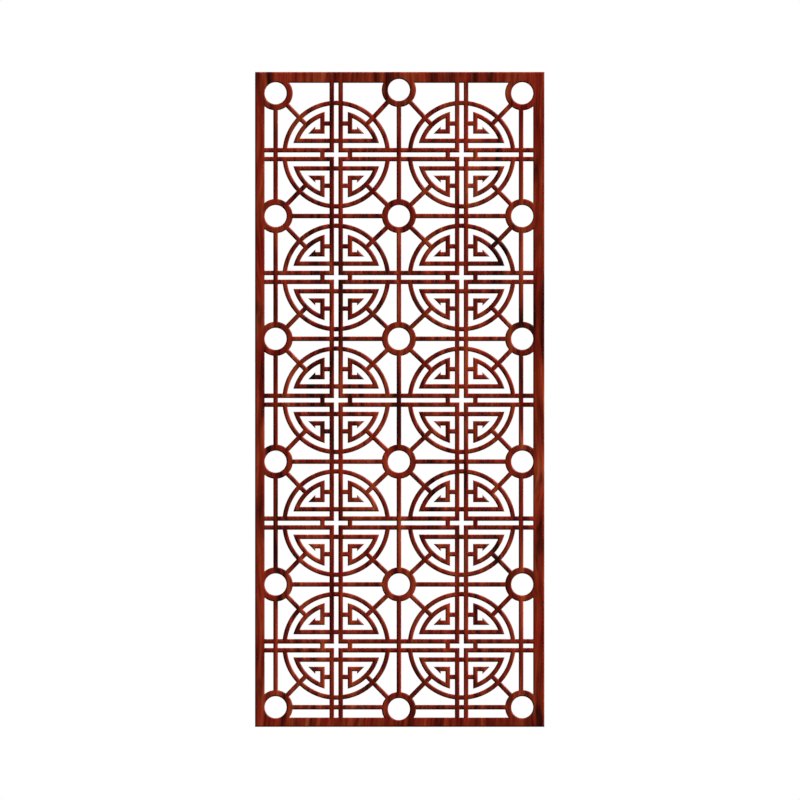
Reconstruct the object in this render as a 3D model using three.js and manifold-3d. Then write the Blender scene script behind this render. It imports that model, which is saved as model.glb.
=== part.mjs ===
// A pierced window grille cut from one aluminium sheet: round longevity medallions in columns and
// rows, small rings between them, and the bars and spokes that tie them to a flat border.
// Millimetres, +Z up, +X to the right seen from the front. The front face looks along -Y and the
// back face lies in the plane y = 0. The origin is on the back of the bottom rail, halfway up the
// rail, on the line that the pattern is symmetric about.

import * as THREE from 'three';
import { mergeVertices } from 'three/addons/utils/BufferGeometryUtils.js';
import Module from 'manifold-3d';

const wasm = await Module();
wasm.setup();

// Driving dimensions

const sheetThickness = 8;

// Border of the sheet, outside the pierced field. The four margins are not equal.
const leftStile = 20.5;
const rightStile = 24;
const topRail = 23.5;
const bottomRail = 20;

// Grid of medallions, and the clear gaps around them
const medallionColumns = 2;
const medallionRows = 5;
const columnGap = 37;      // between the rims of two neighbours, side by side
const rowGap = 31.5;       // between the rims of two neighbours, one above the other
const sideGap = 37.5;      // between an outer medallion's rim and the stile
const endMargin = 22;      // from the last row of ring centres to the inner edge of the rail

// Strips and the clear gaps between them
const stripWidth = 10;
const pairSlot = 9;        // between the two bars of a pair that crosses a medallion
const keyGap = 10;         // between neighbouring strokes of the key pattern
const rimGap = 10.5;       // between a medallion's rim and the key pattern inside it

// Circles
const medallionRadius = 115.5;
const ringRadius = 36.8;
const ringHoleRadius = 23.4;

// The rings at the two ends of an inner column sit a little further out than the others.
const topRingRise = 7;
const bottomRingDrop = 4;

const stubHeight = 61.5;   // from a medallion's level centre line to the lower side of a stub
const lastUprightInset = 2.5;  // the last single upright, inwards from the centres of its rings

// Flats in a whole circle, and in one arc of the key pattern
const rimFlats = 28;
const ringFlats = 16;
const keyArcFlats = 4;

const woodgrainCoat = new THREE.MeshStandardMaterial({ color: 0x75281a, roughness: 0.45, metalness: 0.2 });

// Sizes worked out from the ones above. Where a strip runs into another, it ends on that strip's
// middle line.

const halfSlot = pairSlot / 2;
const pairEdge = halfSlot + stripWidth;            // outer edge of a pair of bars
const pairMiddle = halfSlot + stripWidth / 2;
const keyEdge = pairEdge + keyGap;                 // outer side of the key's straight strokes
const keyInside = keyEdge + stripWidth;
const hookEdge = keyInside + keyGap;               // the hook inside the key
const hookInside = hookEdge + stripWidth;
const keyRadius = medallionRadius - stripWidth - rimGap;
const keyInnerRadius = keyRadius - stripWidth;
const hookRadius = keyInnerRadius - keyGap;
const rimMiddle = medallionRadius - stripWidth / 2;
const keyMiddle = keyRadius - stripWidth / 2;

const columnPitch = 2 * medallionRadius + columnGap;
const rowPitch = 2 * medallionRadius + rowGap;
const fieldWidth = (medallionColumns - 1) * columnPitch + 2 * (medallionRadius + sideGap);
const fieldHeight = medallionRows * rowPitch + 2 * endMargin;
const fieldMiddle = bottomRail / 2 + fieldHeight / 2;
const field = {
  left: -fieldWidth / 2,
  right: fieldWidth / 2,
  bottom: fieldMiddle - fieldHeight / 2,
  top: fieldMiddle + fieldHeight / 2,
};
const sheet = {
  left: field.left - leftStile,
  right: field.right + rightStile,
  bottom: field.bottom - bottomRail,
  top: field.top + topRail,
};
const borderMiddle = {
  left: field.left - leftStile / 2,
  right: field.right + rightStile / 2,
  bottom: field.bottom - bottomRail / 2,
  top: field.top + topRail / 2,
};

const medallionX = (column) => (column - (medallionColumns - 1) / 2) * columnPitch;
const medallionZ = (row) => fieldMiddle + (row - (medallionRows - 1) / 2) * rowPitch;

// A ring stands at each corner of a medallion's cell. The outer columns touch the stiles.
function ringX(column) {
  if (column === 0) return field.left + ringHoleRadius;
  if (column === medallionColumns) return field.right - ringHoleRadius;
  return (column - medallionColumns / 2) * columnPitch;
}

const ringRowZ = (row) => fieldMiddle + (row - medallionRows / 2) * rowPitch;

function ringZ(column, row) {
  const inner = column > 0 && column < medallionColumns;
  if (inner && row === 0) return ringRowZ(row) - bottomRingDrop;
  if (inner && row === medallionRows) return ringRowZ(row) + topRingRise;
  return ringRowZ(row);
}

// Solids from flat outlines. The sheet is worked lying flat, with its back down, and the finished
// panel is stood up at the end. So an outline's second coordinate becomes the height z.

function solidFromGeometry(geometry) {
  geometry.deleteAttribute('normal');
  geometry.deleteAttribute('uv');
  const merged = mergeVertices(geometry, 1e-4);
  return new wasm.Manifold(new wasm.Mesh({
    numProp: 3,
    vertProperties: new Float32Array(merged.attributes.position.array),
    triVerts: new Uint32Array(merged.index.array),
  }));
}

function cutFromSheet(outline) {
  return solidFromGeometry(new THREE.ExtrudeGeometry(outline, {
    depth: sheetThickness,
    bevelEnabled: false,
    curveSegments: 1,
  }));
}

// Corners of an arc of equal flats, both ends included
function arcCorners(x, z, radius, from, to, flats) {
  return Array.from({ length: flats + 1 }, (_, corner) => {
    const angle = from + (to - from) * corner / flats;
    return new THREE.Vector2(x + radius * Math.cos(angle), z + radius * Math.sin(angle));
  });
}

function bar(x0, z0, x1, z1) {
  return cutFromSheet(new THREE.Shape([
    new THREE.Vector2(x0, z0),
    new THREE.Vector2(x1, z0),
    new THREE.Vector2(x1, z1),
    new THREE.Vector2(x0, z1),
  ]));
}

// A disc whose corners lie to both sides of the level and upright lines through its centre, or on
// them where startsLevel is true. The strips that cross a circle cover the corners next to them.
function disc(x, z, radius, flats, startsLevel = false) {
  const start = startsLevel ? 0 : Math.PI / flats;
  const corners = arcCorners(x, z, radius, start, start + 2 * Math.PI, flats);
  return cutFromSheet(new THREE.Shape(corners.slice(0, flats)));
}

// A bar of strip width from one point to another, at any angle
function spoke(from, to) {
  const side = new THREE.Vector2().subVectors(to, from).normalize();
  side.set(-side.y, side.x).multiplyScalar(stripWidth / 2);
  return cutFromSheet(new THREE.Shape([
    from.clone().add(side),
    from.clone().sub(side),
    to.clone().sub(side),
    to.clone().add(side),
  ]));
}

const join = (solids) => solids.reduce((whole, solid) => whole.add(solid));

// One medallion, centred on (cx, cz)

const quarters = [[1, 1], [1, -1], [-1, -1], [-1, 1]];

function onDiagonal(cx, cz, alongX, alongZ, radius) {
  const reach = radius * Math.SQRT1_2;
  return new THREE.Vector2(cx + alongX * reach, cz + alongZ * reach);
}

function rim(cx, cz) {
  return disc(cx, cz, medallionRadius, rimFlats)
    .subtract(disc(cx, cz, medallionRadius - stripWidth, rimFlats));
}

// The key pattern of one quarter is a single strip that turns inwards. It leaves the upright pair
// as a level stroke, turns back along an arc, comes down as an upright stroke and ends in a hook
// with a barb.
function key(cx, cz, alongX, alongZ) {
  const tipAngle = Math.asin(keyEdge / keyRadius);
  const insideAngle = Math.asin(keyInside / keyInnerRadius);
  const hookTip = Math.sqrt(hookRadius ** 2 - hookEdge ** 2);
  const corners = [
    new THREE.Vector2(-pairMiddle, keyEdge),
    ...arcCorners(0, 0, keyRadius, tipAngle, Math.PI / 2 - tipAngle, keyArcFlats),
    new THREE.Vector2(keyEdge, hookEdge),
    new THREE.Vector2(hookTip, hookEdge),
    new THREE.Vector2(hookEdge, hookTip),
    new THREE.Vector2(hookEdge, hookInside),
    new THREE.Vector2(keyInside, hookInside),
    ...arcCorners(0, 0, keyInnerRadius, Math.PI / 2 - insideAngle, insideAngle, keyArcFlats),
    new THREE.Vector2(-pairMiddle, keyInside),
  ];
  return cutFromSheet(new THREE.Shape(
    corners.map((corner) => new THREE.Vector2(cx + alongX * corner.x, cz + alongZ * corner.y)),
  ));
}

// Ties the key's upright stroke to the upright pair
function stub(cx, cz, alongX, alongZ) {
  return spoke(
    new THREE.Vector2(cx + alongX * pairMiddle, cz + alongZ * (stubHeight + stripWidth / 2)),
    new THREE.Vector2(cx + alongX * (keyEdge + stripWidth / 2), cz + alongZ * (stubHeight + stripWidth / 2)),
  );
}

// Ties the key's arc to the rim
function tie(cx, cz, alongX, alongZ) {
  return spoke(
    onDiagonal(cx, cz, alongX, alongZ, keyMiddle),
    onDiagonal(cx, cz, alongX, alongZ, rimMiddle),
  );
}

// Short bridges close the level slot on both sides of the centre, as the key's level strokes close
// the upright slot, so that the two slots leave a plus-shaped opening.
function bridges(cx, cz) {
  return bar(cx - keyInside, cz - pairMiddle, cx - keyEdge, cz + pairMiddle)
    .add(bar(cx + keyEdge, cz - pairMiddle, cx + keyInside, cz + pairMiddle));
}

function insideOfMedallion(cx, cz) {
  return join([
    bridges(cx, cz),
    ...quarters.map((quarter) => key(cx, cz, ...quarter)),
    ...quarters.map((quarter) => stub(cx, cz, ...quarter)),
    ...quarters.map((quarter) => tie(cx, cz, ...quarter)),
  ]);
}

// The whole field

const counted = (count) => Array.from({ length: count }, (_, index) => index);

function joinMedallions(make) {
  return join(counted(medallionColumns).flatMap((column) => (
    counted(medallionRows).map((row) => make(medallionX(column), medallionZ(row), column, row))
  )));
}

function joinRings(make) {
  return join(counted(medallionColumns + 1).flatMap((column) => (
    counted(medallionRows + 1).map((row) => make(ringX(column), ringZ(column, row)))
  )));
}

function uprightPair(x) {
  return bar(x - pairEdge, borderMiddle.bottom, x - halfSlot, borderMiddle.top)
    .add(bar(x + halfSlot, borderMiddle.bottom, x + pairEdge, borderMiddle.top));
}

function levelPair(z) {
  return bar(borderMiddle.left, z - pairEdge, borderMiddle.right, z - halfSlot)
    .add(bar(borderMiddle.left, z + halfSlot, borderMiddle.right, z + pairEdge));
}

// Where two pairs cross, both of their slots stay open. A level slot also stays open through the
// rims.
function pairsAndRims() {
  const columns = counted(medallionColumns).map(medallionX);
  const rows = counted(medallionRows).map(medallionZ);
  const levelSlots = join(rows.map((z) => bar(field.left, z - halfSlot, field.right, z + halfSlot)));
  const uprightSlots = join(columns.map((x) => bar(x - halfSlot, field.bottom, x + halfSlot, field.top)));
  const uprights = join(columns.map(uprightPair)).subtract(levelSlots);
  const levels = join(rows.map(levelPair)).subtract(uprightSlots);
  return join([uprights, levels, joinMedallions(rim).subtract(levelSlots)]);
}

// Single bars run from ring to ring. The top row of rings has none between them.
function singleBars() {
  const half = stripWidth / 2;
  const uprights = counted(medallionColumns + 1).map((column) => {
    const x = ringX(column) - (column === medallionColumns ? lastUprightInset : 0);
    return bar(x - half, ringZ(column, 0), x + half, ringZ(column, medallionRows));
  });
  const levels = counted(medallionRows).map((row) => (
    bar(ringX(0), ringRowZ(row) - half, ringX(medallionColumns), ringRowZ(row) + half)
  ));
  return join([...uprights, ...levels]);
}

// Four spokes tie each medallion's rim to the rings at the corners of its cell.
function spokesToRings(cx, cz, column, row) {
  const corners = [[0, 0], [1, 0], [0, 1], [1, 1]];
  return join(corners.map(([right, up]) => spoke(
    onDiagonal(cx, cz, 2 * right - 1, 2 * up - 1, rimMiddle),
    new THREE.Vector2(ringX(column + right), ringZ(column + right, row + up)),
  )));
}

function border() {
  return bar(sheet.left, sheet.bottom, sheet.right, sheet.top)
    .subtract(bar(field.left, field.bottom, field.right, field.top));
}

function grilleSolid() {
  return join([
    pairsAndRims(),
    joinMedallions(insideOfMedallion),
    singleBars(),
    joinMedallions(spokesToRings),
    joinRings((x, z) => disc(x, z, ringRadius, ringFlats, true)),
    border(),
  ])
    .subtract(joinRings((x, z) => disc(x, z, ringHoleRadius, ringFlats, true)))
    .intersect(bar(sheet.left, sheet.bottom, sheet.right, sheet.top));
}

function meshFromSolid(name, solid, material) {
  const { vertProperties, triVerts } = solid.getMesh();
  const geometry = new THREE.BufferGeometry();
  geometry.setAttribute('position', new THREE.BufferAttribute(vertProperties, 3));
  geometry.setIndex(new THREE.BufferAttribute(triVerts, 1));
  geometry.computeVertexNormals();
  const mesh = new THREE.Mesh(geometry, material);
  mesh.name = name;
  return mesh;
}

const panel = meshFromSolid('grille_panel', grilleSolid(), woodgrainCoat);
panel.rotation.x = Math.PI / 2;

const grille = new THREE.Group();
grille.name = 'window_grille';
grille.add(panel);

export default grille;
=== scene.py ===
# %% [markdown]
# # A pierced window grille with a wood-grain coat
#
# The real object is one tall sheet of aluminium with a pattern cut through it: round longevity
# medallions, small rings and the strips that tie them together, inside a flat border. A wood-grain
# coat covers it. The CAD model gives the sizes and the place. This notebook draws the same panel
# again with finer circles and rounded arrises, and then gives it its coat.
#
# First the CAD model is loaded. Its box is kept, because the finer panel has to stay inside it.

# %% Load the CAD model
from math import asin, atan2, cos, pi, radians, sin, sqrt

import bmesh
import bpy
from mathutils import Euler, Matrix, Vector
from mathutils.geometry import delaunay_2d_cdt


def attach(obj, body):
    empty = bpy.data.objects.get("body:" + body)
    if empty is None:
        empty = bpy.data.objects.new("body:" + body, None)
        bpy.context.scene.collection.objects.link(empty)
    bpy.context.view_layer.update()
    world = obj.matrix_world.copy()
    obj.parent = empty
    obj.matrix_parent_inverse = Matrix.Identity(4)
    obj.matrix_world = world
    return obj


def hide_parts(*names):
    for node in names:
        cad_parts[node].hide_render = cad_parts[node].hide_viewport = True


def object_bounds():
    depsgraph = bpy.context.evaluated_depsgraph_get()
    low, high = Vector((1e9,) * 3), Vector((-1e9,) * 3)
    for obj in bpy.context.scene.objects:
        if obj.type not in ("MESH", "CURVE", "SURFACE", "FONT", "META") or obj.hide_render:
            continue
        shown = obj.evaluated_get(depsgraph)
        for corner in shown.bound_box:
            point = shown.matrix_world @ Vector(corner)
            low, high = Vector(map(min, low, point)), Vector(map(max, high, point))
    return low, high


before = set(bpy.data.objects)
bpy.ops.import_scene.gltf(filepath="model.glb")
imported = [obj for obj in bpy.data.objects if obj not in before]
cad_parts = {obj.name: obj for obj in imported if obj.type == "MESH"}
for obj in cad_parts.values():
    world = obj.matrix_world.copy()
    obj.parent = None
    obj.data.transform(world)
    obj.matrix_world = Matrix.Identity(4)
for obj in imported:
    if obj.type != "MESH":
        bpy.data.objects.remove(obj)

cad_box = [list(corner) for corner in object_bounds()]
print("CAD box", cad_box)

# %% [markdown]
# The photograph looks straight at the panel, and all of its upright lines are parallel. A camera
# with perspective would have to stand far away for that. An orthographic camera does it simply:
# its scale is the width of the picture in metres, and its distance changes nothing.

# %% Camera
picture_width = 1.7101
picture_middle_x, picture_middle_z = 0.0023, 0.6887
camera_distance = 3
camera_data = bpy.data.cameras.new("straight_on")
camera_data.type = "ORTHO"
camera_data.ortho_scale = picture_width
camera = bpy.data.objects.new("straight_on", camera_data)
camera.location = (picture_middle_x, -camera_distance, picture_middle_z)
camera.rotation_euler = (radians(90), 0, 0)
bpy.context.scene.collection.objects.link(camera)
bpy.context.scene.camera = camera
print("metres across the picture", round(camera_data.ortho_scale, 3))

# %% [markdown]
# The pattern follows from a few sizes: the width of a strip, the gaps between strips, the radii
# and the gaps between medallions. They are the CAD model's. The others are worked out from these,
# so that strips meet where they should.

# %% Sizes of the strips and circles, in metres
MM = 0.001
thickness = 8 * MM
strip = 10 * MM
half_slot = 4.5 * MM
key_gap = 10 * MM
rim_gap = 10.5 * MM
medallion_radius = 115.5 * MM
ring_radius = 36.8 * MM
ring_hole_radius = 23.4 * MM
stub_height = 61.5 * MM
print("strips", round(strip / MM, 1), "mm wide, slot of a pair", round(2 * half_slot / MM, 1), "mm")

# %% Lines of the pattern that follow from them
pair_middle = half_slot + strip / 2
key_edge = half_slot + strip + key_gap
key_inside = key_edge + strip
hook_edge = key_inside + key_gap
hook_inside = hook_edge + strip
rim_middle = medallion_radius - strip / 2
key_radius = medallion_radius - strip - rim_gap
key_inner_radius = key_radius - strip
hook_radius = key_inner_radius - key_gap
radii = (medallion_radius, key_radius, key_inner_radius, hook_radius)
print("radii in mm", [round(radius / MM, 1) for radius in radii])

# %% [markdown]
# The medallions stand in two columns and five rows, with a ring at every corner of their cells.
# Their places could be measured one by one. Working them out from the radius and a few gaps keeps
# the rows even, and a changed size moves all that depends on it. Only the two end rings of the
# middle column and the last upright stand a little off, as they do on the real panel.

# %% Gaps between the medallions, and the border
columns, rows = 2, 5
column_gap, row_gap = 37 * MM, 31.5 * MM
side_gap, end_margin = 37.5 * MM, 22 * MM
left_stile, right_stile = 20.5 * MM, 24 * MM
bottom_rail, top_rail = 20 * MM, 23.5 * MM
bottom_ring_drop, top_ring_rise = 4 * MM, 7 * MM
last_upright_inset = 2.5 * MM

column_pitch = 2 * medallion_radius + column_gap
row_pitch = 2 * medallion_radius + row_gap
field_width = (columns - 1) * column_pitch + 2 * (medallion_radius + side_gap)
field_height = rows * row_pitch + 2 * end_margin
field_middle = bottom_rail / 2 + field_height / 2
print("field", round(field_width / MM, 1), "by", round(field_height / MM, 1), "mm")

# %% Places of the medallions and rings
medallion_xs = [(column - (columns - 1) / 2) * column_pitch for column in range(columns)]
medallion_zs = [field_middle + (row - (rows - 1) / 2) * row_pitch for row in range(rows)]
side_ring_x = field_width / 2 - ring_hole_radius
ring_xs = [-side_ring_x, 0, side_ring_x]
ring_row_zs = [field_middle + (row - rows / 2) * row_pitch for row in range(rows + 1)]


def ring_z(column, row):
    """The two end rings of the middle column stand a little further out."""
    if column == 1 and row == 0:
        return ring_row_zs[row] - bottom_ring_drop
    if column == 1 and row == rows:
        return ring_row_zs[row] + top_ring_rise
    return ring_row_zs[row]


print("medallions at", [round(x, 3) for x in medallion_xs], [round(z, 4) for z in medallion_zs])

# %% [markdown]
# Every straight member is a bar of the same width. It could be drawn with four corners each time.
# A unit cube with one matrix does it in a line: the matrix scales it to width, depth and length,
# turns it and carries it to the middle between its two ends.
#
# The members are laid in layers, and in one layer no two members overlap. Boolean union can then
# weld whole layers at once with its fast Manifold solver, which wants meshes that don't cross
# themselves.

# %% Layers, and a bar from one point to another
near_y, far_y = -6 * MM, -2 * MM
rounds, keys_right, keys_left, uprights, levels, ties, spokes, holes = (bmesh.new() for _ in range(8))


def add_bar(layer, start, end, width=strip):
    (x0, z0), (x1, z1) = start, end
    middle = ((x0 + x1) / 2, (near_y + far_y) / 2, (z0 + z1) / 2)
    turn = Euler((0, atan2(x1 - x0, z1 - z0), 0))
    size = (width, far_y - near_y, sqrt((x1 - x0) ** 2 + (z1 - z0) ** 2))
    bmesh.ops.create_cube(layer, size=1, matrix=Matrix.LocRotScale(middle, turn, size))


def add_copy(layer, piece, x, z, along_x=1, along_z=1):
    """Lays a copy of a piece in a layer, mirrored first and then moved."""
    before = len(layer.verts)
    layer.from_mesh(piece)
    layer.verts.ensure_lookup_table()
    laid = layer.verts[before:]
    bmesh.ops.scale(layer, vec=(along_x, 1, along_z), verts=laid)
    bmesh.ops.translate(layer, vec=(x, 0, z), verts=laid)


print("members are laid", round((far_y - near_y) / MM, 1), "mm thick, and get their depth later")

# %% [markdown]
# A medallion's rim is a flat hoop. It could be a disc with a smaller disc cut out. Spinning its
# square section about the centre gives clean, even segments straight away. It is spun as two
# halves, because the level slot between the two middle bars runs on through the rim on both sides.

# %% Rims of the medallions
out_of_the_front = (0, -1, 0)
half_rim_steps = 64
rim_start = asin(pair_middle / rim_middle)
rim = bmesh.new()
for start in (rim_start, pi + rim_start):
    places = ((0, near_y), (strip, near_y), (strip, far_y), (0, far_y))
    corners = [rim.verts.new((medallion_radius - strip + out, y, 0)) for out, y in places]
    bmesh.ops.rotate(rim, verts=corners, cent=(0, 0, 0), matrix=Matrix.Rotation(-start, 3, "Y"))
    section = rim.faces.new(corners)
    bmesh.ops.spin(rim, geom=[section, *section.edges, *section.verts], axis=out_of_the_front,
                   cent=(0, 0, 0), angle=pi - 2 * rim_start, steps=half_rim_steps)
rim_mesh = bpy.data.meshes.new("rim")
rim.to_mesh(rim_mesh)
for x in medallion_xs:
    for z in medallion_zs:
        add_copy(rounds, rim_mesh, x, z)
print("ten rims,", len(rounds.faces), "faces")

# %% [markdown]
# The key pattern of a quarter is a single strip that turns inwards: a level stroke, an arc back
# over the top, an upright stroke and a hook with a barb. Its outline has a few corners and two
# arcs. Each arc is one vertex spun about the centre, and edges join the arcs' ends by way of the
# corners.

# %% Outline of the key pattern
outer_arc_steps, inner_arc_steps = 22, 14
key = bmesh.new()


def add_arc(radius, start, end, steps):
    first = key.verts.new((radius * cos(start), near_y, radius * sin(start)))
    spun = bmesh.ops.spin(key, geom=[first], axis=out_of_the_front, cent=(0, 0, 0),
                          angle=end - start, steps=steps)
    return first, spun["geom_last"][0]


def join_corners(first, places, last):
    corners = [first, *[key.verts.new((x, near_y, z)) for x, z in places], last]
    for one, other in zip(corners, corners[1:]):
        key.edges.new((one, other))


tip = asin(key_edge / key_radius)
inside = asin(key_inside / key_inner_radius)
hook_tip = sqrt(hook_radius ** 2 - hook_edge ** 2)
outer_start, outer_end = add_arc(key_radius, tip, pi / 2 - tip, outer_arc_steps)
inner_start, inner_end = add_arc(key_inner_radius, pi / 2 - inside, inside, inner_arc_steps)
join_corners(outer_end, [(key_edge, hook_edge), (hook_tip, hook_edge), (hook_edge, hook_tip),
                         (hook_edge, hook_inside), (key_inside, hook_inside)], inner_start)
join_corners(inner_end, [(-pair_middle, key_inside), (-pair_middle, key_edge)], outer_start)
print("key outline has", len(key.verts), "corners")

# %% [markdown]
# The closed outline is filled and extruded, which makes one key a solid. The other three of a
# medallion are its mirror images. Drawing each anew would only repeat the work, so copies are
# scaled by minus one instead. The layers' normals are recalculated before they are welded.

# %% Four keys in each medallion
def thicken(shape, depth):
    """Extrudes all faces of a flat shape straight back, and so makes it a solid."""
    extruded = bmesh.ops.extrude_face_region(shape, geom=shape.faces[:])["geom"]
    corners = [corner for corner in extruded if isinstance(corner, bmesh.types.BMVert)]
    bmesh.ops.translate(shape, verts=corners, vec=(0, depth, 0))


bmesh.ops.edgeloop_fill(key, edges=key.edges)
thicken(key, far_y - near_y)
key_mesh = bpy.data.meshes.new("key")
key.to_mesh(key_mesh)
for x in medallion_xs:
    for z in medallion_zs:
        for up in (-1, 1):
            add_copy(keys_right, key_mesh, x, z, 1, up)
            add_copy(keys_left, key_mesh, x, z, -1, up)
print("keys,", len(keys_right.faces) + len(keys_left.faces), "faces")

# %% [markdown]
# Short strips hold the keys in place: a stub to the upright pair of bars, a tie on the diagonal to
# the rim, and a bridge on both sides of the middle. Each runs on to the middle line of what it
# meets, so that the two overlap and weld cleanly.

# %% Stubs, ties and bridges
diagonal = sqrt(0.5)
stub_middle = stub_height + strip / 2
key_middle = key_edge + strip / 2
near, far = diagonal * (key_radius - strip / 2), diagonal * rim_middle
for x in medallion_xs:
    for z in medallion_zs:
        for side in (-1, 1):
            key_x = x + side * key_middle
            add_bar(uprights, (key_x, z - pair_middle), (key_x, z + pair_middle))
            for up in (-1, 1):
                level = z + up * stub_middle
                add_bar(levels, (x + side * pair_middle, level), (key_x, level))
                add_bar(ties, (x + side * near, z + up * near), (x + side * far, z + up * far))
print("ties,", len(ties.faces), "faces")

# %% [markdown]
# Two bars side by side run through every column and every row of medallions. Where two pairs
# cross, the slot between the bars stays open both ways, so each bar is a row of lengths with a gap
# at every slot that it meets. The level lengths reach the slot's edge. The upright ones stop on the
# level bars' middle line, because a union works best where members overlap well.

# %% Pairs of bars
left, right = -field_width / 2, field_width / 2
bottom, top = field_middle - field_height / 2, field_middle + field_height / 2
into_border = 10 * MM


def lengths(start, end, crossings, gap):
    """Splits the way from start to end at each crossing, and leaves a gap on both sides of it."""
    stops = [start, *[stop for at in crossings for stop in (at - gap, at + gap)], end]
    return zip(stops[0::2], stops[1::2])


for side in (-pair_middle, pair_middle):
    for x in medallion_xs:
        for low, high in lengths(bottom - into_border, top + into_border, medallion_zs, pair_middle):
            add_bar(uprights, (x + side, low), (x + side, high))
    for z in medallion_zs:
        for near, far in lengths(left - into_border, right + into_border, medallion_xs, half_slot):
            add_bar(levels, (near, z + side), (far, z + side))
print("bars,", len(uprights.faces) + len(levels.faces), "faces")

# %% [markdown]
# Between the medallions, single bars run from ring to ring, and four spokes tie each rim to the
# rings at the corners of its cell. A ring starts as a plain disc. Its hole is cut at the end,
# through everything that runs into it.

# %% Rings and single bars
ring_segments, hole_segments = 88, 72


def add_disc(layer, x, z, radius, segments, depth):
    lying = Matrix.Translation((x, (near_y + far_y) / 2, z)) @ Matrix.Rotation(radians(90), 4, "X")
    bmesh.ops.create_cone(layer, cap_ends=True, segments=segments, radius1=radius, radius2=radius,
                          depth=depth, matrix=lying)


for column, x in enumerate(ring_xs):
    inset = last_upright_inset if column == columns else 0
    add_bar(uprights, (x - inset, ring_z(column, 0)), (x - inset, ring_z(column, rows)))
    for row in range(rows + 1):
        z = ring_z(column, row)
        add_disc(rounds, x, z, ring_radius, ring_segments, far_y - near_y)
        add_disc(holes, x, z, ring_hole_radius, hole_segments, 2 * thickness)
for z in ring_row_zs[:rows]:
    add_bar(levels, (ring_xs[0], z), (ring_xs[columns], z))
print("rims and rings,", len(rounds.faces), "faces")

# %% Spokes
for column, x in enumerate(medallion_xs):
    for row, z in enumerate(medallion_zs):
        for side in (0, 1):
            for up in (0, 1):
                ring = Vector((ring_xs[column + side], ring_z(column + side, row + up)))
                start = Vector((x, z)) + Vector((2 * side - 1, 2 * up - 1)) * diagonal * rim_middle
                end = ring + (start - ring).normalized() * (ring_radius + ring_hole_radius) / 2
                add_bar(spokes, start, end)
print("spokes,", len(spokes.faces), "faces")

# %% [markdown]
# The border is four plain boards round the field. Its four widths aren't equal in the photograph:
# the right stile is a little wider than the left one, and the top rail than the bottom one.

# %% Border
sheet_left, sheet_right = left - left_stile, right + right_stile
sheet_bottom, sheet_top = bottom - bottom_rail, top + top_rail
for outer, inner in ((sheet_left, left), (sheet_right, right)):
    middle = (outer + inner) / 2
    add_bar(uprights, (middle, sheet_bottom), (middle, sheet_top), abs(outer - inner))
for outer, inner in ((sheet_bottom, bottom), (sheet_top, top)):
    middle = (outer + inner) / 2
    add_bar(levels, (sheet_left, middle), (sheet_right, middle), abs(outer - inner))
sheet_width, sheet_height = sheet_right - sheet_left, sheet_top - sheet_bottom
print("sheet", round(sheet_width / MM, 1), "by", round(sheet_height / MM, 1), "mm")

# %% [markdown]
# The layers are welded into one blank, and the ring holes are cut through it. Each step is a
# Boolean modifier on the first layer. Reading the evaluated mesh applies them all in one go, and
# the helpers are then thrown away.

# %% Weld the layers and cut the holes
def layer_object(name, layer):
    bmesh.ops.recalc_face_normals(layer, faces=layer.faces)
    mesh = bpy.data.meshes.new(name)
    layer.to_mesh(mesh)
    layer_piece = bpy.data.objects.new(name, mesh)
    bpy.context.scene.collection.objects.link(layer_piece)
    return layer_piece


blank = layer_object("rounds", rounds)
helpers = [blank]
for name, layer in (("keys_right", keys_right), ("keys_left", keys_left), ("uprights", uprights),
                    ("levels", levels), ("ties", ties), ("spokes", spokes), ("holes", holes)):
    helpers.append(layer_object(name, layer))
    weld = blank.modifiers.new(name, "BOOLEAN")
    weld.solver = "MANIFOLD"
    weld.operation = "DIFFERENCE" if name == "holes" else "UNION"
    weld.object = helpers[-1]
evaluated = blank.evaluated_get(bpy.context.evaluated_depsgraph_get())
welded = bpy.data.meshes.new_from_object(evaluated)
for helper in helpers:
    bpy.data.objects.remove(helper)
print("welded blank,", len(welded.polygons), "faces")

# %% [markdown]
# The weld leaves many small faces, and very short edges where an arc happens to change direction
# beside a crossing. A rounded arris needs clean outlines. So the blank is first cut down to the
# outlines of its front: only the faces that look forwards are kept, doubles are merged, and then
# the faces and the edges between them go too.

# %% Outlines of the front
facing = 0.9
doubles_distance = 0.05 * MM
flat = bmesh.new()
flat.from_mesh(welded)
others = [face for face in flat.faces if face.normal.y > -facing]
bmesh.ops.delete(flat, geom=others, context="FACES")
bmesh.ops.remove_doubles(flat, verts=flat.verts, dist=doubles_distance)
inner_edges = [edge for edge in flat.edges if not edge.is_boundary]
bmesh.ops.delete(flat, geom=flat.faces[:], context="FACES_ONLY")
bmesh.ops.delete(flat, geom=inner_edges, context="EDGES")
print("outlines have", len(flat.verts), "corners")

# %% [markdown]
# The solver shares its work among the processor's cores, and its faces come back in another order
# each run. That order would carry on into the bevel and change its last digits. So the edges are
# laid once more, in the order of their corners, and every run then gives the very same panel.

# %% Edges in a fixed order
flat.verts.index_update()
ends = sorted(sorted(corner.index for corner in edge.verts) for edge in flat.edges)
ordered = bmesh.new()
corners = [ordered.verts.new(corner.co) for corner in flat.verts]
for one, other in ends:
    ordered.edges.new((corners[one], corners[other]))
flat.free()
flat = ordered
print("outlines have", len(flat.edges), "edges")

# %% [markdown]
# Corners on a straight line are of no use and are dissolved. A corner of an arc is welded to the
# crossing beside it where the two stand closer than the arris will be wide, or the arris would
# fold over itself there. The limits are angles in degrees and one length.

# %% Clean outlines
straight_turn, arc_turn = 0.5, 10
least_edge = 3.5 * MM


def turns_less_than(corner, angle):
    sides = [edge.other_vert(corner).co - corner.co for edge in corner.link_edges]
    return len(sides) == 2 and sides[0].angle(-sides[1]) < radians(angle)


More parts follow.
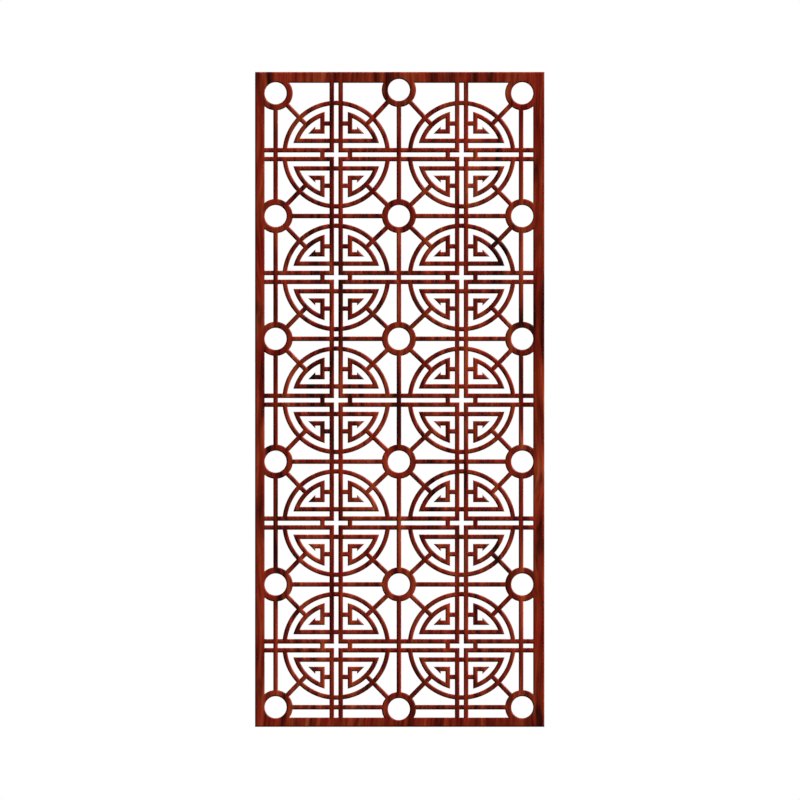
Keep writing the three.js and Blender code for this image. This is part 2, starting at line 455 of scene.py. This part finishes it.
def crowded_corners():
    """Corners of an arc, each with the crossing that it stands too close to."""
    found = {}
    for edge in flat.edges:
        on_arc = [end for end in edge.verts if turns_less_than(end, arc_turn)]
        if edge.calc_length() < least_edge and len(on_arc) == 1:
            found[on_arc[0]] = edge.other_vert(on_arc[0])
    return found


straight = [corner for corner in flat.verts if turns_less_than(corner, straight_turn)]
bmesh.ops.dissolve_verts(flat, verts=straight)
before = len(flat.verts)
while crowded := crowded_corners():
    bmesh.ops.weld_verts(flat, targetmap=crowded)
crossings = [corner for corner in flat.verts if not turns_less_than(corner, arc_turn)]
shortest = min(edge.calc_length() for corner in crossings for edge in corner.link_edges)
print(len(straight), "straight corners dissolved,", before - len(flat.verts), "crowded ones welded")
print("shortest edge at a crossing", round(shortest / MM, 2), "mm")

# %% [markdown]
# The outlines are over three hundred loops: the edge of the sheet and all of its openings. The
# triangle fill loses some of them at that number. So each loop is filled by itself first, and a
# constrained Delaunay triangulation then finds what lies between the loops. Its output type 5
# leaves the openings out and gives a few large faces. The loops are handed over in a fixed order
# too, so that the flat is split up the same way each run.

# %% Fill the outlines
faces_without_openings = 5
same_point = 0.001 * MM


def from_the_lowest(loop):
    """The same loop, begun at its lowest number and run towards the lower of its neighbours."""
    start = loop.index(min(loop))
    turned = loop[start:] + loop[:start]
    return turned if turned[1] < turned[-1] else [turned[0], *turned[:0:-1]]


def fill_between(outlines):
    """Fills what lies between closed outlines in one upright plane, and leaves the openings."""
    own_fills = bmesh.ops.edgeloop_fill(flat, edges=outlines)["faces"]
    on_outlines = {corner for face in own_fills for corner in face.verts}
    corners = [corner for corner in flat.verts if corner in on_outlines]
    number = {corner: index for index, corner in enumerate(corners)}
    loops = sorted(from_the_lowest([number[corner] for corner in face.verts]) for face in own_fills)
    bmesh.ops.delete(flat, geom=own_fills, context="FACES_ONLY")
    between = delaunay_2d_cdt([corner.co.xz for corner in corners], [], loops,
                              faces_without_openings, same_point)[2]
    faces = [flat.faces.new([corners[index] for index in face]) for face in between]
    area = sum(face.calc_area() for face in faces)
    print(len(loops), "loops,", len(faces), "faces between them, area in cm2", round(area * 1e4, 1))


fill_between(flat.edges[:])

# %% [markdown]
# The flat pattern is now given the sheet's full thickness with an extrude. It starts at the front,
# 8 mm before the back plane.

# %% Thickness
def report_solid(shape, name):
    open_edges = sum(len(edge.link_faces) != 2 for edge in shape.edges)
    print(name, "has", len(shape.faces), "faces,", open_edges, "open edges, volume in cm3",
          round(shape.calc_volume() * 1e6, 1))


bmesh.ops.translate(flat, verts=flat.verts, vec=(0, -thickness - near_y, 0))
thicken(flat, thickness)
bmesh.ops.recalc_face_normals(flat, faces=flat.faces)
report_solid(flat, "square panel")

# %% [markdown]
# In the photograph every left and lower edge turns dark over about 3 mm, and every right and upper
# edge a little lighter, as on a strip with well rounded arrises. A Bevel modifier could round them
# live. The operator is used here, because it can take the front edges alone, and give the back ones
# a much smaller break.

# %% Rounded arrises
front_arris, front_segments = 3.2 * MM, 4
back_arris, back_segments = 0.5 * MM, 1
hair = 0.01 * MM


def arris_edges(y):
    """Edges between the flat face at this depth and a wall."""
    def lies_flat(face):
        return abs(face.normal.y) > facing
    return [edge for edge in flat.edges
            if all(abs(corner.co.y - y) < hair for corner in edge.verts)
            and lies_flat(edge.link_faces[0]) != lies_flat(edge.link_faces[1])]


for y, width, segments in ((-thickness, front_arris, front_segments), (0, back_arris, back_segments)):
    bmesh.ops.bevel(flat, geom=arris_edges(y), affect="EDGES", offset=width, offset_type="OFFSET",
                    segments=segments, profile=0.5, material=-1, clamp_overlap=False)
report_solid(flat, "rounded panel")

# %% [markdown]
# The bevel draws the front's outlines in, but not the edges that cross the front from one outline
# to another, and an outline may now lie over such an edge. So the flat front is opened and filled
# again from its new outlines. The back has hardly changed and keeps its faces. The arris begins
# with a facet that is only eleven degrees off the front, so what counts as front is set closely.

# %% Fill the flat front again
facing_closely = 0.99
front = [face for face in flat.faces
         if face.normal.y < -facing_closely and abs(face.calc_center_median().y + thickness) < hair]
in_front = set(front)
outlines = [edge for edge in flat.edges if len(in_front.intersection(edge.link_faces)) == 1]
bmesh.ops.delete(flat, geom=front, context="FACES")
fill_between(outlines)
bmesh.ops.recalc_face_normals(flat, faces=flat.faces)
report_solid(flat, "finished panel")

# %% [markdown]
# Light shows the shape through the normals. The arrises and the walls of the arcs are shaded
# smooth. Where an arris turns a corner there is a mitre, as on a picture frame. Near the front its
# two sides are almost level with each other, so their angle alone doesn't give it away. What does
# is that they face different ways seen from the front, and such edges stay sharp.

# %% Smooth arrises with sharp mitres
smooth_limit, mitre_turn = radians(30), radians(12)
least_tilt = 0.05


def is_mitre(edge):
    seen_from_front = [face.normal.xz for face in edge.link_faces]
    return (min(side.length for side in seen_from_front) > least_tilt
            and seen_from_front[0].angle(seen_from_front[1]) > mitre_turn)


for edge in flat.edges:
    edge.smooth = edge.calc_face_angle(0) < smooth_limit and not is_mitre(edge)
for face in flat.faces:
    face.smooth = True
print(sum(not edge.smooth for edge in flat.edges), "sharp edges")

# %% [markdown]
# Smooth shading would also tilt the light on the flat front near its outlines. So the corners that
# lie in the front plane are given a normal straight out of it: the front stays a true plane, and
# the arris runs into it without a crease.

# %% A true front
panel_mesh = bpy.data.meshes.new("rounded_panel")
flat.to_mesh(panel_mesh)
normals = [corner.vector.copy() for corner in panel_mesh.corner_normals]
for corner in panel_mesh.loops:
    if panel_mesh.vertices[corner.vertex_index].co.y < -thickness + hair:
        normals[corner.index] = out_of_the_front
panel_mesh.normals_split_custom_set(normals)
print(sum(normal is out_of_the_front for normal in normals), "corners point straight out of the front")

# %% [markdown]
# The panel becomes an object that stands for the CAD node: the node is hidden, and the panel rides on
# its body. Its coat is added further down.

# %% Panel in place of the CAD node
panel = bpy.data.objects.new("rounded_panel", panel_mesh)
bpy.context.scene.collection.objects.link(panel)
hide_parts("grille_panel")
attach(panel, "root")
panel_mesh.calc_loop_triangles()
covered = sum(triangle.area for triangle in panel_mesh.loop_triangles)
surface = sum(face.area for face in panel_mesh.polygons)
print("panel has", len(panel_mesh.loop_triangles), "triangles, surface in cm2", round(surface * 1e4, 1),
      "by triangles", round(covered * 1e4, 1))

# %% [markdown]
# The coat is printed with wood grain. On the real panel the grain runs upwards through every
# member alike, rails included, because the whole sheet is coated at once. So the pattern is read
# from Object coordinates, and not from each strip's own direction.
#
# One kind of grain is needed at several widths and lengths, so it is a node group. It lets the
# place wander a little sideways with height, squeezes its height, and reads a noise there. It puts
# out one value, from about 0 to 1.

# %% A helper that adds a node
def add_node(tree, kind, inputs=None, **settings):
    """Adds a node with its settings, and fills or links its inputs by name or number."""
    node = tree.nodes.new(kind)
    for name, value in settings.items():
        setattr(node, name, value)
    for name, value in (inputs or {}).items():
        if isinstance(value, bpy.types.NodeSocket):
            tree.links.new(value, node.inputs[name])
        else:
            node.inputs[name].default_value = value
    return node


# %% Node group for upright grain
grain = bpy.data.node_groups.new("upright_grain", "ShaderNodeTree")
grain.interface.new_socket("Place", in_out="INPUT", socket_type="NodeSocketVector")
for name in ("Bands per metre", "Squeeze", "Seed"):
    grain.interface.new_socket(name, in_out="INPUT", socket_type="NodeSocketFloat")
grain.interface.new_socket("Bands", in_out="OUTPUT", socket_type="NodeSocketFloat")
given = grain.nodes.new("NodeGroupInput").outputs

wander_per_metre, wander_width = 3.0, 0.07
wander = add_node(grain, "ShaderNodeTexNoise", {
    "Vector": given["Place"], "Scale": wander_per_metre, "Detail": 1.0})
sideways = add_node(grain, "ShaderNodeMath", {0: wander.outputs["Fac"], 1: wander_width},
                    operation="MULTIPLY")
shift = add_node(grain, "ShaderNodeCombineXYZ", {"X": sideways.outputs[0]})
wandered = add_node(grain, "ShaderNodeVectorMath", {0: given["Place"], 1: shift.outputs[0]},
                    operation="ADD")
squeeze = add_node(grain, "ShaderNodeCombineXYZ", {"X": 1.0, "Y": 1.0, "Z": given["Squeeze"]})
squeezed = add_node(grain, "ShaderNodeVectorMath", {0: wandered.outputs[0], 1: squeeze.outputs[0]},
                    operation="MULTIPLY")
bands = add_node(grain, "ShaderNodeTexNoise", {
    "Vector": squeezed.outputs[0], "W": given["Seed"], "Scale": given["Bands per metre"],
    "Detail": 3.0, "Roughness": 0.55}, noise_dimensions="4D")
even = add_node(grain, "ShaderNodeMapRange", {
    "Value": bands.outputs["Fac"], "From Min": 0.28, "From Max": 0.72})
grain.links.new(even.outputs[0], grain.nodes.new("NodeGroupOutput").inputs["Bands"])
print("grain group has", len(grain.nodes), "nodes")

# %% [markdown]
# The coat mixes three widths of grain. A colour ramp turns the mix into the range of the
# photograph, from nearly black brown through deep red to orange-brown.

# %% Tones of the coat
coat = bpy.data.materials.new("woodgrain_coat")
coat.use_nodes = True
tree = coat.node_tree
tree.nodes.clear()
place = tree.nodes.new("ShaderNodeTexCoord").outputs["Object"]


def add_grain(bands_per_metre, squeeze, seed):
    inputs = {"Place": place, "Bands per metre": bands_per_metre, "Squeeze": squeeze, "Seed": seed}
    return add_node(tree, "ShaderNodeGroup", inputs, node_tree=grain).outputs["Bands"]


wide = add_grain(bands_per_metre=24, squeeze=0.14, seed=15)
middling = add_grain(bands_per_metre=75, squeeze=0.08, seed=16)
fine = add_grain(bands_per_metre=300, squeeze=0.03, seed=11)
middling_share, fine_share = 0.76, 0.16
tone = add_node(tree, "ShaderNodeMix", {"Factor": middling_share, "A": wide, "B": middling})
tone = add_node(tree, "ShaderNodeMix", {"Factor": fine_share, "A": tone.outputs[0], "B": fine})
ramp = add_node(tree, "ShaderNodeValToRGB", {"Fac": tone.outputs[0]})
tones = [(0.18, (0.016, 0.0010, 0.0004)), (0.28, (0.047, 0.0024, 0.0008)),
         (0.41, (0.118, 0.0070, 0.0022)), (0.50, (0.156, 0.0110, 0.0038)),
         (0.60, (0.196, 0.0180, 0.0062)), (0.72, (0.250, 0.0300, 0.0110)),
         (0.86, (0.320, 0.0480, 0.0190))]
for position, _ in tones[2:]:
    ramp.color_ramp.elements.new(position)
for stop, (position, colour) in zip(ramp.color_ramp.elements, tones):
    stop.position = position
    stop.color = (*colour, 1)
print("colour ramp has", len(ramp.color_ramp.elements), "tones")

# %% [markdown]
# One ramp alone gives the whole panel the same hue. A much wider band makes some regions warmer
# and others more crimson. Short wide streaks are darkened, as in dark heartwood, and so are the
# fine pores.

# %% Warmth, dark streaks and pores
crimson, warm = (1.0, 0.50, 0.6, 1), (1.0, 1.60, 1.3, 1)
heartwood, pore_brown = (0.014, 0.0012, 0.0006, 1), (0.020, 0.0015, 0.0008, 1)
pore_darkness = 0.4


def mix_colours(amount, first, second, blend="MIX"):
    """Mixes two colours. The numbers are those of the Mix node's colour sockets."""
    return add_node(tree, "ShaderNodeMix", {0: amount, 6: first, 7: second}, data_type="RGBA",
                    blend_type=blend).outputs[2]


def mask_between(value, low, high):
    return add_node(tree, "ShaderNodeMapRange", {
        "Value": value, "From Min": low, "From Max": high}).outputs[0]


regions = add_grain(bands_per_metre=15, squeeze=0.5, seed=23)
colour = mix_colours(1.0, ramp.outputs["Color"], mix_colours(regions, crimson, warm), "MULTIPLY")
streaks = mask_between(add_grain(bands_per_metre=34, squeeze=0.22, seed=19), 0.66, 0.98)
colour = mix_colours(streaks, colour, heartwood)
pores = mask_between(add_grain(bands_per_metre=900, squeeze=0.05, seed=31), 0.66, 0.80)
in_pores = add_node(tree, "ShaderNodeMath", {0: pores, 1: pore_darkness}, operation="MULTIPLY")
colour = mix_colours(in_pores.outputs[0], colour, pore_brown)
print("colour has", len(tree.nodes), "nodes")

# %% [markdown]
# The finish is satin. Its roughness is middling and follows the grain a little, and its reflection
# is weaker than a bare gloss coat's. Bump nodes give it relief that no camera could see as shape:
# the pores are a few hundredths of a millimetre deep, and the coat has a faint orange peel.

# %% Finish of the coat
dark_roughness, light_roughness = 0.46, 0.36
peel_per_metre = 420.0
peel_height, pore_depth = 0.00006, 0.00008
satin = add_node(tree, "ShaderNodeMapRange", {
    "Value": middling, "To Min": dark_roughness, "To Max": light_roughness})
peel = add_node(tree, "ShaderNodeTexNoise", {"Vector": place, "Scale": peel_per_metre, "Detail": 1.0})
peel_bump = add_node(tree, "ShaderNodeBump", {
    "Strength": 0.3, "Distance": peel_height, "Height": peel.outputs["Fac"]})
pore_bump = add_node(tree, "ShaderNodeBump", {
    "Strength": 0.4, "Distance": pore_depth, "Height": pores,
    "Normal": peel_bump.outputs[0]}, invert=True)
shader = add_node(tree, "ShaderNodeBsdfPrincipled", {
    "Base Color": colour, "Roughness": satin.outputs[0], "Specular IOR Level": 0.1,
    "Normal": pore_bump.outputs[0]})
add_node(tree, "ShaderNodeOutputMaterial", {"Surface": shader.outputs[0]})
panel_mesh.materials.append(coat)
print("coat has", len(tree.nodes), "nodes")

# %% [markdown]
# A plain pale floor lies just under the panel. A lit floor this close would send so much light back
# up that the dark lower edges went grey, so its ray visibility is turned off for diffuse and glossy
# rays: it is seen and takes shadows, and lights nothing.

# %% Floor
floor_half_width = 6
ground = bmesh.new()
under_panel = Matrix.Translation((0, 0, cad_box[0][2]))
bmesh.ops.create_grid(ground, x_segments=1, y_segments=1, size=floor_half_width, matrix=under_panel)
floor_mesh = bpy.data.meshes.new("floor")
ground.to_mesh(floor_mesh)
floor = bpy.data.objects.new("floor", floor_mesh)
bpy.context.scene.collection.objects.link(floor)
pale = bpy.data.materials.new("pale_floor")
pale.use_nodes = True
pale_shader = pale.node_tree.nodes["Principled BSDF"]
pale_shader.inputs["Base Color"].default_value = (0.8, 0.8, 0.8, 1)
pale_shader.inputs["Roughness"].default_value = 0.9
floor_mesh.materials.append(pale)
floor.visible_diffuse = False
floor.visible_glossy = False
print("floor is", 2 * floor_half_width, "m wide, at z", round(cad_box[0][2], 3))

# %% [markdown]
# The photograph has a pure white background. A white world would give it, but would also light the
# panel so much from all sides that its arrises disappeared. A Light Path node keeps the two apart:
# the world is white where the camera looks straight at it, and dim as a light.

# %% White background
world_light = 0.08
world = bpy.data.worlds.new("white_studio")
bpy.context.scene.world = world
world.use_nodes = True
studio = world.node_tree
studio.nodes.clear()
lit = add_node(studio, "ShaderNodeBackground", {"Color": (1, 1, 1, 1), "Strength": world_light})
seen = add_node(studio, "ShaderNodeBackground", {"Color": (1, 1, 1, 1), "Strength": 1.0})
seen_directly = add_node(studio, "ShaderNodeLightPath").outputs["Is Camera Ray"]
either = add_node(studio, "ShaderNodeMixShader", {
    0: seen_directly, 1: lit.outputs[0], 2: seen.outputs[0]})
add_node(studio, "ShaderNodeOutputWorld", {"Surface": either.outputs[0]})
bpy.context.scene.view_settings.view_transform = "Standard"
print("world light", round(lit.inputs["Strength"].default_value, 3))

# %% [markdown]
# The dark lines lie on the left and lower edges, so the main light comes from the upper right. It
# grazes the front: the flatter it falls, the more the arrises stand out from the flat. Area lamps
# would fade over a panel this tall. A sun with a wide angle lights all of it alike, and still gives
# soft shadows. A second one behind keeps the back from going black.

# %% Lights
def add_sun(name, direction, strength, softness):
    """A sun that shines along a direction, with the softness of a large studio lamp."""
    sun = bpy.data.lights.new(name, "SUN")
    sun.energy = strength
    sun.angle = radians(softness)
    lamp = bpy.data.objects.new(name, sun)
    lamp.rotation_euler = Vector(direction).to_track_quat("-Z", "Y").to_euler()
    bpy.context.scene.collection.objects.link(lamp)
    print(name, "has strength", round(sun.energy, 1))


add_sun("upper_right", direction=(-0.70, 0.33, -0.63), strength=8.8, softness=16)
add_sun("behind", direction=(-0.10, -0.95, -0.20), strength=2.2, softness=40)
